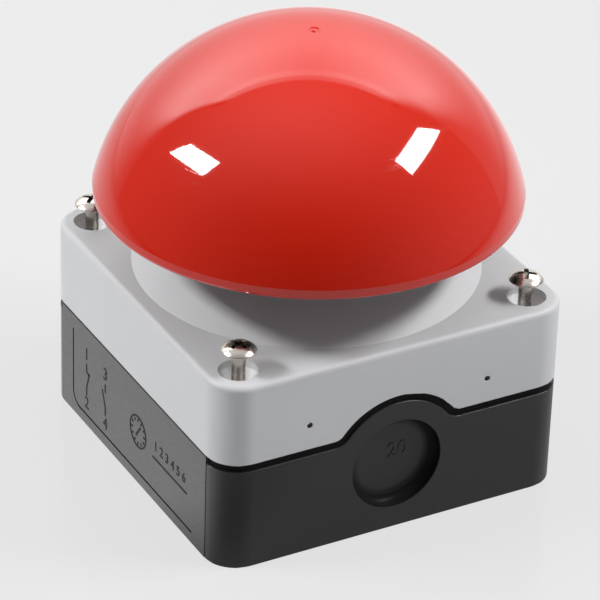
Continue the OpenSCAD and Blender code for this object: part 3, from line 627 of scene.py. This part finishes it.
def screw_surface(centre, turn, head_z, head_top, tip_z, thread_top, pitch):
    """One cover screw: a closed head with a recess, and a closed shank with neck and thread below it.

    The crown falls as (r / R)^3. Its middle is a square of lines (u, v) bent to a disc by
    x = u sqrt(1 - v^2 / 2), y = v sqrt(1 - u^2 / 2), so that lines follow the recess, and rings of the
    disc's edge points carry on to the rim and under the head. The thread is a wave in the radius that
    climbs one pitch per turn and fades at both ends. Also gives each point's share of painted shade:
    the recess and the shank are painted darker, where shade and dark reflections fall.
    """
    neck_r, shank_r, crest_r, crown, disc_r = 1.72, 1.4, 1.75, 1.4, 3.0
    slot_lines, end_lines = [0, 0.18, 0.36, 0.43, 0.5], [1.95, 2.1, 2.3, 2.65, disc_r]
    half = np.concatenate([slot_lines, np.linspace(0.65, 1.8, 9), end_lines])
    line = np.concatenate([-half[:0:-1], half]) / disc_r
    u, v = np.meshgrid(line, line, indexing="ij")
    x, y = disc_r * u * np.sqrt(1 - v * v / 2), disc_r * v * np.sqrt(1 - u * u / 2)
    sunk = cross_recess(disc_r * u, disc_r * v)

    def top(r):
        return head_top - crown * (r / HEAD_R) ** 3

    c, k = math.cos(turn), math.sin(turn)
    disc = np.stack([x * c - y * k, x * k + y * c, top(np.hypot(x, y)) - sunk], -1)
    edge = np.concatenate([disc[:-1, 0], disc[-1, :-1], disc[:0:-1, -1], disc[0, :0:-1]])[:, :2] / disc_r
    out = np.array([disc_r, 3.2, 3.36, 3.46])
    rim = np.array(
        [[3.56, 0.24], [HEAD_R, 0.17], [HEAD_R, 0.1], [3.56, 0.03], [3.45, 0], [2.2, 0], [0, 0]]
    )
    rings = np.vstack([np.stack([out, top(out)], 1), rim + [0, head_z]])
    under = np.concatenate([rings[:, None, :1] * edge, np.repeat(rings[:, None, 1:], len(edge), 1)], -1)

    a = np.linspace(0, TAU, 48, endpoint=False) + turn
    z = np.linspace(thread_top, tip_z + 0.4, int((thread_top - tip_z) / pitch * 6))
    neck = np.array([[0, 0.3], [neck_r, 0.3], [neck_r, -0.5], [neck_r - 0.1, -0.62], [shank_r, -0.75]])
    plain = np.array([[shank_r, head_z - 1.1], [shank_r, thread_top + 1.0], [shank_r, thread_top + 0.2]])
    tip = np.array([[1.2, tip_z], [0, tip_z]])
    rows = np.vstack([neck + [0, head_z], plain, np.stack([np.full_like(z, shank_r), z], 1), tip])
    radius, height = np.repeat(rows[:, :1], len(a), 1), np.repeat(rows[:, 1:], len(a), 1)
    first = len(neck) + len(plain)
    wound = slice(first, first + len(z))
    phase = (height[wound] / pitch + a / TAU) % 1
    fade = ease((thread_top - height[wound]) / pitch) * ease((height[wound] - tip_z) / pitch)
    radius[wound] += (crest_r - shank_r) * ease(1.25 * (1 - abs(2 * phase - 1))) * fade
    shank = np.stack([radius * np.cos(a), radius * np.sin(a), height], -1)
    # Painted shade: the recess by its depth, and the whole shank, are painted darker.
    dull = [ease(sunk / 0.4), np.zeros(under.shape[:2]), np.full(shank.shape[:2], 0.4)]
    place = [centre[0], centre[1], 0]
    grids = [(grid + place, False, grid is not disc, False) for grid in (disc, under, shank)]
    return grids, np.concatenate([d.ravel() for d in dull])


def boot_profile(s):
    """Closed section of the boot: a cuff, two folds r = r0 + d sin^2(2 pi t), and a neck on the stem."""
    low, high = box_mm("sealing_boot")
    bottom, top, rim = low[2], high[2], high[0]
    stem_r = box_mm("stem")[1][0] + 0.05
    cuff, inner = 1.6, 9.0
    outer = inner + s["boot_wall"]
    t = np.linspace(0, 1, 49)
    z = bottom + cuff + (top - bottom - 2 * cuff) * t
    wave = np.sin(TAU * t) ** 2
    outside = np.stack([outer + (rim - outer) * wave, z], 1)[::-1]
    inside = np.stack([inner + (rim - 1.6 - inner) * wave, z], 1)
    head = np.array([[stem_r, top - 1.2], [stem_r, top - 0.15], [stem_r + 0.15, top]])
    neck = np.vstack([[[outer - 0.5, top]], arc((outer - 0.4, top - 0.4), 0.4, 80, 0, 5)])
    shoulder = arc((rim - 0.5, bottom + 0.8), 0.5, 90, 0, 6)
    foot = np.array([[rim, bottom + 0.15], [rim - 0.15, bottom], [inner, bottom]])
    return np.vstack([head, neck, outside, shoulder, foot, inside])


def stroke(points, width, depth, closed=False):
    """Flat bar along a drawn line: a rectangle width by depth carried along (u, v), standing on w = 0."""
    line = np.asarray(points, float)
    along = np.roll(line, -1, 0) - np.roll(line, 1, 0) if closed else np.gradient(line, axis=0)
    along /= np.linalg.norm(along, axis=1, keepdims=True)
    across = np.stack([-along[:, 1], along[:, 0]], 1) * width / 2
    corners = [(line + across, depth), (line - across, depth), (line - across, 0), (line + across, 0)]
    grid = np.stack([np.column_stack([p, np.full(len(p), w)]) for p, w in corners], 1)
    return grid, closed, True, not closed


def straight(a, b, width, depth):
    """Flat bar from a to b."""
    return stroke([a, ((a[0] + b[0]) / 2, (a[1] + b[1]) / 2), b], width, depth)


def ring(centre, radius, width, depth, steps=48):
    """Flat ring about a centre."""
    return stroke(arc(centre, radius, 0, 360 - 360 / steps, steps), width, depth, closed=True)


def numerals(text, height, depth, centre):
    """Raised numerals in the built-in plain letter form, as a mesh in (u, v, w)."""
    curve = bpy.data.curves.new("numerals", "FONT")
    curve.body, curve.size, curve.extrude = text, height * 1.4, depth / 2
    curve.align_x, curve.align_y = "CENTER", "CENTER"
    holder = bpy.data.objects.new("numerals", curve)
    bpy.context.scene.collection.objects.link(holder)
    view = bpy.context.evaluated_depsgraph_get()
    mesh = bpy.data.meshes.new_from_object(holder.evaluated_get(view))
    bpy.data.objects.remove(holder)
    bpy.data.curves.remove(curve)
    mesh.materials.clear()
    co = np.empty(len(mesh.vertices) * 3)
    mesh.vertices.foreach_get("co", co)
    co = co.reshape(-1, 3) + [centre[0], centre[1], depth / 2]
    mesh.vertices.foreach_set("co", co.ravel())
    return mesh


def marks(name, finish, origin, axes, bars, figures):
    """One object of flat marks: bars and figures drawn in (u, v, w), laid at origin along three axes."""
    turn = np.array(axes, float)
    laid = [(grid @ turn + origin, *rest) for grid, *rest in bars]
    mesh = grid_mesh(name, laid) if laid else bpy.data.meshes.new(name)
    work = bmesh.new()
    work.from_mesh(mesh)
    for figure in figures:
        co = np.empty(len(figure.vertices) * 3)
        figure.vertices.foreach_get("co", co)
        figure.vertices.foreach_set("co", ((co.reshape(-1, 3) @ turn + origin) * MM).ravel())
        work.from_mesh(figure)
        bpy.data.meshes.remove(figure)
    work.to_mesh(mesh)
    work.free()
    return shown(name, mesh, finish, 30)


def placed(x, y, z, place):
    """Matrix with these axes and this place."""
    return Matrix(np.column_stack([x, y, z, place]).tolist() + [[0, 0, 0, 1]])


class PUSHBUTTON_OT_stage(bpy.types.Operator):
    """Floor, lights, world and the camera at the photograph's view"""

    bl_idname = "pushbutton.stage"
    bl_label = "Stage"

    def execute(self, context):
        scene = context.scene
        # Nothing of the start-up file stays.
        ours = set(frame["nodes"].values()) | set(frame["bodies"].values())
        for other in set(bpy.data.objects) - ours:
            bpy.data.objects.remove(other)
        scene.view_settings.view_transform = "Standard"
        self.floor()
        self.world(scene)
        self.back_sheet()
        for name, facts in SOFTBOXES.items():
            self.lamp(name, *facts)
        self.camera(scene)
        return {"FINISHED"}

    def sheet(self, name, corners, made):
        """Flat sheet of the stage inside these corners, in metres."""
        mesh = bpy.data.meshes.new(name)
        mesh.from_pydata(corners, [], [tuple(range(len(corners)))])
        mesh.materials.append(made)
        flat = bpy.data.objects.new(name, mesh)
        bpy.context.scene.collection.objects.link(flat)
        return flat

    def floor(self):
        """Pale acrylic floor: eye and mirror rays see mostly an even tone, and faintly the lit sheet itself.

        Mirror rays see painted light and shade on it: it is painted brighter beside the left softbox, which
        gives the black side panel its grey veil, and to the right behind. It is painted dimmer close before
        the near corner, as a painted shadow, and far out in front and at the sides, where the light ends.
        """
        made, tree, place = new_material("pale_acrylic_floor")
        tone = tinted(tree, noise(tree, place, 120), colours().floor, 0.01)
        skin = add(tree, "ShaderNodeBsdfPrincipled", {"Base Color": tone, "Roughness": 0.15})
        path = add(tree, "ShaderNodeLightPath").outputs
        seen = calc(tree, "MAXIMUM", path["Is Camera Ray"], path["Is Glossy Ray"])
        away = vector(tree, "LENGTH", place)
        lift = 0.0
        # Each zone of painted light and shade for mirror rays: the way it runs, its first and last value and
        # where these lie along that way, and between which distances from the middle it fades out or in.
        # Places are in metres.
        fade_out, fade_in = (1, 0), (0, 1)
        for way, change, along, ring_at, fade in (
            ((-0.49, 0.87, 0), (-0.35, 1.0), (-0.012, 0.012), (0.09, 0.12), fade_out),
            ((0.962, 0.271, 0), (0.0, 0.45), (0.08, 0.2), (0.3, 0.5), fade_out),
            ((-0.707, -0.707, 0), (0.0, -0.4), (0.053, 0.066), (0.085, 0.11), fade_out),
            (BEHIND, (-0.7, 0.0), (-0.1, 0.5), (0.2, 0.45), fade_in),
            (BESIDE, (0.0, -0.35), (0.3, 0.5), (0.2, 0.3), fade_in),
            (-BESIDE, (0.0, -0.35), (0.3, 0.5), (0.2, 0.3), fade_in),
        ):
            value = between(tree, vector(tree, "DOT_PRODUCT", place, way), *change, *along)
            lift = calc(tree, "MULTIPLY_ADD", value, between(tree, away, *fade, *ring_at), lift)
        light = calc(tree, "MULTIPLY_ADD", lift, path["Is Glossy Ray"], 1.0)
        glow = add(tree, "ShaderNodeEmission", {"Color": BACKGROUND, "Strength": light})
        even = calc(tree, "MULTIPLY", seen, FLOOR_EVEN)
        mixed = add(
            tree, "ShaderNodeMixShader", {0: even, 1: skin.outputs["BSDF"], 2: glow.outputs["Emission"]}
        )
        add(tree, "ShaderNodeOutputMaterial", {"Surface": mixed.outputs["Shader"]})
        near, far, wide = -0.4 * BEHIND, 0.7 * BEHIND, 0.5 * BESIDE
        self.sheet("floor", [p.tolist() for p in (near - wide, near + wide, far + wide, far - wide)], made)

    def world(self, scene):
        """Dim room that the camera sees pale.

        Its radiance is 0.08 + 0.66 z^4 towards the ceiling, 0.3 s^2 and 0.14 s^2 to right and left, and
        0.25 q^6 towards the upper left.
        """
        room = bpy.data.worlds.new("studio")
        room.use_nodes = True
        tree = room.node_tree
        tree.nodes.clear()
        way = add(tree, "ShaderNodeTexCoord").outputs["Generated"]
        light = 0.08
        for axis, power, share in (
            ((0, 0, 1), 4, 0.66),
            (BESIDE, 2, 0.3),
            (-BESIDE, 2, 0.14),
            ((-0.558, 0.313, 0.77), 6, 0.25),
        ):
            towards = calc(tree, "MAXIMUM", vector(tree, "DOT_PRODUCT", way, axis), 0.0)
            light = calc(tree, "MULTIPLY_ADD", calc(tree, "POWER", towards, power), share, light)
        dim = add(tree, "ShaderNodeBackground", {"Color": (1, 1, 1, 1), "Strength": light})
        pale = add(tree, "ShaderNodeBackground", {"Color": BACKGROUND})
        seen = add(tree, "ShaderNodeLightPath").outputs["Is Camera Ray"]
        mixed = add(tree, "ShaderNodeMixShader", {0: seen, 1: dim.outputs[0], 2: pale.outputs[0]})
        add(tree, "ShaderNodeOutputWorld", {"Surface": mixed.outputs["Shader"]})
        scene.world = room

    def back_sheet(self):
        """Tall white sheet behind the part that lights one way only.

        Its radiance is 0.95 + (1.25 + 1.35 a) S, where a runs from 0 in the middle to 1 aside and S is a
        smooth step up the sheet. Near the top it is brighter, and ends in two soft steps. At the sides it
        fades to the room's level, further in lower down. Matt surfaces get a share of it only, as from a
        sheet that is lit in strips.
        """
        made, tree, place = new_material("lit_paper_sheet")
        aside = vector(tree, "DOT_PRODUCT", place, BESIDE)
        height = add(tree, "ShaderNodeSeparateXYZ", {0: place}).outputs["Z"]
        out = between(tree, calc(tree, "ABSOLUTE", aside), 0, 1, 0.05, 0.75)
        step = between(tree, height, 0, 1, 0.12, 0.8, "SMOOTHSTEP")
        rise = calc(tree, "MULTIPLY_ADD", out, 1.35, 1.25)
        light = calc(tree, "MULTIPLY_ADD", step, rise, 0.95)
        light = calc(tree, "ADD", light, between(tree, height, 0, 0.45, 1.37, 1.46))
        # Fades: side, the room's level there, where each starts and ends at the foot and higher up, and
        # between which heights that changes. Places are in metres.
        for side, level, foot, upper, heights in (
            (1, 0.48, (0.3, 0.95), (0.85, 1.3), (0.2, 0.95)),
            (-1, 0.32, (0.4, 1.42), (1.2, 1.42), (0.0, 0.8)),
        ):
            start, end = (between(tree, height, low, high, *heights) for low, high in zip(foot, upper))
            fade = between(tree, calc(tree, "MULTIPLY", aside, side), 0, 1, start, end, "SMOOTHSTEP")
            light = between(tree, fade, light, level, 0, 1)
        for share, start, end in ((0.58, 1.62, 1.74), (0.45, 1.84, SHEET_TOP)):
            light = calc(tree, "MULTIPLY", light, between(tree, height, 1, share, start, end, "SMOOTHSTEP"))
        behind = add(tree, "ShaderNodeNewGeometry").outputs["Backfacing"]
        light = calc(tree, "MULTIPLY", light, calc(tree, "SUBTRACT", 1.0, behind))
        mirror = add(tree, "ShaderNodeLightPath").outputs["Is Glossy Ray"]
        light = calc(tree, "MULTIPLY", light, between(tree, mirror, SHEET_MATT, 1, 0, 1))
        glow = add(tree, "ShaderNodeEmission", {"Color": (1, 1, 1, 1), "Strength": light})
        add(tree, "ShaderNodeOutputMaterial", {"Surface": glow.outputs["Emission"]})
        corners = ((-1.5, -0.15), (1.35, -0.15), (1.35, SHEET_TOP), (-1.5, SHEET_TOP))
        points = [(0.7 * BEHIND + u * BESIDE + [0, 0, h]).tolist() for u, h in corners]
        self.sheet("back_sheet", points, made).visible_camera = False

    def lamp(self, name, centre, across, up, size, radiance):
        """Rectangular area light whose face has the given radiance, turned by its own axes."""
        data = bpy.data.lights.new(name, "AREA")
        data.shape, data.size, data.size_y = "RECTANGLE", size[0] * MM, size[1] * MM
        data.energy = radiance * math.pi * data.size * data.size_y
        made = bpy.data.objects.new(name, data)
        x = np.array(across) / np.linalg.norm(across)
        y = np.array(up) - np.dot(up, x) * x
        y /= np.linalg.norm(y)
        z = np.cross(x, y)
        if np.dot(z, centre) < 0:
            x, z = -x, -z
        made.matrix_world = placed(x, y, z, np.array(centre) * MM)
        bpy.context.scene.collection.objects.link(made)

    def camera(self, scene):
        """Camera whose axes, place and lens were fitted to the photograph's edges."""
        data = bpy.data.cameras.new("photo_view")
        data.lens, data.sensor_width, data.clip_start, data.clip_end = 216.412, 36, 0.01, 20
        made = bpy.data.objects.new("photo_view", data)
        right = (0.88004631, -0.47403303, 0.02848103)
        up = (0.21937168, 0.45899215, 0.86093105)
        back = (-0.42118233, -0.75141126, 0.50792378)
        place = (-0.316672, -0.562783, 0.412955)
        made.matrix_world = placed(right, up, back, place)
        bpy.context.scene.collection.objects.link(made)
        scene.camera = made


class PUSHBUTTON_OT_dome(bpy.types.Operator):
    """Gloss red dome with its rim band and gate mark"""

    bl_idname = "pushbutton.dome"
    bl_label = "Dome"

    def execute(self, context):
        profile, lined = dome_profile(sizes())
        steps = 360
        grid = (turned(profile, steps), False, True, False)
        made = piece("dome_shell", [grid], "dome", 12, np.repeat(lined, steps))
        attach(made, "palm")
        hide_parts("palm_dome")
        return {"FINISHED"}


class PUSHBUTTON_OT_housing(bpy.types.Operator):
    """Black base and grey cover with rounded moulded edges"""

    bl_idname = "pushbutton.housing"
    bl_label = "Housing"

    def execute(self, context):
        width = sizes()["edge_round"]
        half = box_mm("cover")[1][0]
        panel_foot, panel_top = 0.3, 22.4

        def outside(p, slack):
            return np.maximum(abs(p[:, 0]), abs(p[:, 1])) > half - slack

        def base_edges(p):
            # The edges of the side panels stay sharp.
            on_panel = (abs(p[:, 0]) > half - 0.4) & (p[:, 2] > panel_foot) & (p[:, 2] < panel_top)
            return outside(p, 0.4) & ~on_panel

        def cover_edges(p):
            return outside(p, 0.3)

        for node, name, finish, slot, chosen in (
            ("base_housing", "base_tray", "base", "black_plastic", base_edges),
            ("cover", "cover_cap", "cover", "grey_plastic", cover_edges),
        ):
            made = eased_copy(node, name, finish, chosen, width)
            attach(made, "housing")
            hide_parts(node)
        return {"FINISHED"}


class PUSHBUTTON_OT_screws(bpy.types.Operator):
    """Four bright cover screws with recess and thread"""

    bl_idname = "pushbutton.screws"
    bl_label = "Cover screws"

    def execute(self, context):
        low, high = box_mm("cover_screws")
        at = screw_at()
        # Heights of the head's underside and top, of the tip and of the thread's upper end.
        head_z, head_top, tip_z = high[2] - 1.8, high[2] - 0.2, low[2]
        thread_top = tip_z + 12
        pitch = sizes()["thread_pitch"]
        grids, shades = [], []
        # Each slack screw: its corner, how far it is turned and sunk, and its lean to the viewer's right.
        for x, y, turn, sink, lean in (
            (-1, -1, 0.35, 0, 0),
            (1, -1, 1.05, 0.6, -0.3),
            (-1, 1, 0.7, 0.55, -0.2),
            (1, 1, 0.1, 0.3, 0),
        ):
            centre = (x * at + lean * BESIDE[0], y * at + lean * BESIDE[1])
            heights = (head_z - sink, head_top - sink, tip_z, thread_top)
            parts, dull = screw_surface(centre, turn, *heights, pitch)
            grids += parts
            shades.append(dull)
        made = piece("cover_screws_bright", grids, "screw", 40, np.concatenate(shades))
        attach(made, "housing")
        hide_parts("cover_screws")
        return {"FINISHED"}


class PUSHBUTTON_OT_springs(bpy.types.Operator):
    """Return spring and the two contact springs, as coils of wire"""

    bl_idname = "pushbutton.springs"
    bl_label = "Springs"

    def execute(self, context):
        s = sizes()
        for node, name, thick, turns, joint, steps, sides in (
            ("return_spring", "return_spring_wire", s["spring_wire"], 4.2, "palm_press", 56, 16),
            ("nc_spring", "nc_spring_wire", s["coil_wire"], 6.5, "nc_press", 36, 10),
            ("no_spring", "no_spring_wire", s["coil_wire"], 6.5, "no_press", 36, 10),
        ):
            low, high = box_mm(node)
            middle = (low + high) / 2
            radius = (high[0] - low[0] - thick) / 2
            grid = wire(radius, thick, low[2], high[2], turns, steps, sides) + [middle[0], middle[1], 0]
            made = piece(name, [(grid, False, True, True)], "spring", 50)
            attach(made, "housing")
            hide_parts(node)
            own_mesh(made)
        return {"FINISHED"}


class PUSHBUTTON_OT_boot(bpy.types.Operator):
    """Folded rubber boot round the stem"""

    bl_idname = "pushbutton.boot"
    bl_label = "Sealing boot"

    def execute(self, context):
        grid = (turned(boot_profile(sizes()), 96), True, True, False)
        made = piece("sealing_boot_rubber", [grid], "rubber", 50)
        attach(made, "housing")
        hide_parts("sealing_boot")
        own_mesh(made)
        return {"FINISHED"}


class PUSHBUTTON_OT_marks(bpy.types.Operator):
    """Plain marks: a contact diagram, a mould dial and numerals"""

    bl_idname = "pushbutton.marks"
    bl_label = "Marks"

    def execute(self, context):
        s = sizes()
        line, tall, depth = s["mark_line"], s["mark_height"], 0.06
        low = box_mm("base_housing")[0]
        bars, figures = [], []
        # Opening contact 1-2, then closing contact 3-4: two posts, a blade and two numerals each.
        above, top, gap_top, gap_foot, foot, below = 17.6, 15.3, 13.2, 9.6, 7.6, 5.6
        for u, first, closed, swing in ((-21.5, 1, True, 1.3), (-12.5, 3, False, -1.4)):
            bars.append(straight((u, top), (u, gap_top), line, depth))
            bars.append(straight((u, gap_foot), (u, foot), line, depth))
            bars.append(straight((u, gap_foot), (u + swing, gap_top + 0.2), line, depth))
            if closed:
                bars.append(straight((u, gap_top), (u + 1.5, gap_top), line, depth))
            figures.append(numerals(str(first), tall, depth, (u, above)))
            figures.append(numerals(str(first + 1), tall, depth, (u, below)))
        # Mould dial: a ring of ticks and a hand.
        dial, ticks = np.array([3.0, 12.6]), 12
        bars.append(ring(dial, 3.6, line, depth))
        for angle in np.arange(ticks) * TAU / ticks:
            tick = np.array([math.cos(angle), math.sin(angle)])
            bars.append(straight(dial + 2.5 * tick, dial + 3.1 * tick, line, depth))
        bars.append(straight(dial - [0.9, 1.2], dial + [1.1, 1.5], line * 1.3, depth))
        figures.append(numerals("1 2 3 4 5 6", tall * 0.8, depth, (17.5, 13.6)))
        bars.append(straight((9.8, 10.6), (25.2, 10.6), line, depth))
        side_axes = ((0, -1, 0), (0, 0, 1), (-1, 0, 0))
        made = marks("side_marks", "ink", (low[0], 0, 0), side_axes, bars, figures)
        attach(made, "housing")
        # Painted shade: black discs in the two dimples of the cover's front, standing for the dark inside
        # them.
        face = box_mm("cover")[0][1]
        disc = np.array([[0, -0.05], [0.35, -0.06], [0.585, -0.15], [0.585, -0.45], [0, -0.45]])
        round_y = ((1, 0, 0), (0, 0, 1), (0, -1, 0))
        dimple_x, dimple_z = 20.4, 29.9
        pin = turned(disc, 24) @ np.array(round_y, float)
        grids = [(pin + [x, face, dimple_z], False, True, False) for x in (-dimple_x, dimple_x)]
        made = piece("painted_dimple_shade", grids, "ink")
        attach(made, "housing")
        # Size of the cable entry, raised on the floor of its recess.
        recess = 2.8
        figure = numerals("20", 3.4, 0.14, (1.6, 1.4))
        made = marks("entry_numerals", "base", (0, low[1] + recess, ENTRY_Z), round_y, [], [figure])
        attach(made, "housing")
        return {"FINISHED"}


class PUSHBUTTON_OT_inner_works(bpy.types.Operator):
    """Finishes of the CAD pieces that keep their own shape"""

    bl_idname = "pushbutton.inner_works"
    bl_label = "Inner works"

    FINISHES = {
        "rubber": ("cover_gasket",),
        "cover": ("cover_towers",),
        "base": ("dome_hub",),
        "natural": ("screw_retainers", "stem", "push_plate", "guide_bush", "bush_nut"),
        "brass": ("thread_inserts",),
        "nickel": ("stem_screw", "carrier_screws", "terminal_clamps", "terminal_screws"),
        "spring": ("stem_circlip",),
        "block": ("contact_carrier", "nc_block", "no_block"),
        "lid": ("nc_block_lid", "no_block_lid"),
        "opening": ("nc_plunger",),
        "closing": ("no_plunger",),
        "contact": ("nc_bridge", "no_bridge", "nc_contacts", "no_contacts"),
    }

    def execute(self, context):
        for finish, nodes in self.FINISHES.items():
            for name in nodes:
                slots = frame["nodes"][name].material_slots
                if not slots:
                    raise RuntimeError(f"{name} has no material slot")
                for slot in slots:
                    slot.material = material(finish)
        return {"FINISHED"}


OPERATORS = (
    PUSHBUTTON_OT_stage,
    PUSHBUTTON_OT_housing,
    PUSHBUTTON_OT_dome,
    PUSHBUTTON_OT_screws,
    PUSHBUTTON_OT_springs,
    PUSHBUTTON_OT_boot,
    PUSHBUTTON_OT_marks,
    PUSHBUTTON_OT_inner_works,
)


class PUSHBUTTON_PT_pieces(bpy.types.Panel):
    """Lists the pieces and their sizes and colours"""

    bl_idname = "PUSHBUTTON_PT_pieces"
    bl_label = "Palm pushbutton"
    bl_space_type = "VIEW_3D"
    bl_region_type = "UI"
    bl_category = "Pushbutton"

    def draw(self, context):
        for operator in OPERATORS:
            self.layout.operator(operator.bl_idname)
        for group in (context.scene.pushbutton_sizes, context.scene.pushbutton_colours):
            for name in type(group).__annotations__:
                self.layout.prop(group, name)


CLASSES = (PushbuttonSizes, PushbuttonColours, *OPERATORS, PUSHBUTTON_PT_pieces)


def register():
    """Registers the classes and the scene's two property groups."""
    for made in CLASSES:
        bpy.utils.register_class(made)
    bpy.types.Scene.pushbutton_sizes = bpy.props.PointerProperty(type=PushbuttonSizes)
    bpy.types.Scene.pushbutton_colours = bpy.props.PointerProperty(type=PushbuttonColours)


def unregister():
    """Takes back what register did."""
    del bpy.types.Scene.pushbutton_colours
    del bpy.types.Scene.pushbutton_sizes
    for made in reversed(CLASSES):
        bpy.utils.unregister_class(made)


def main():
    """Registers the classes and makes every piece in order."""
    register()
    for operator in OPERATORS:
        group, name = operator.bl_idname.split(".")
        getattr(getattr(bpy.ops, group), name)()


if __name__ == "__main__":
    main()
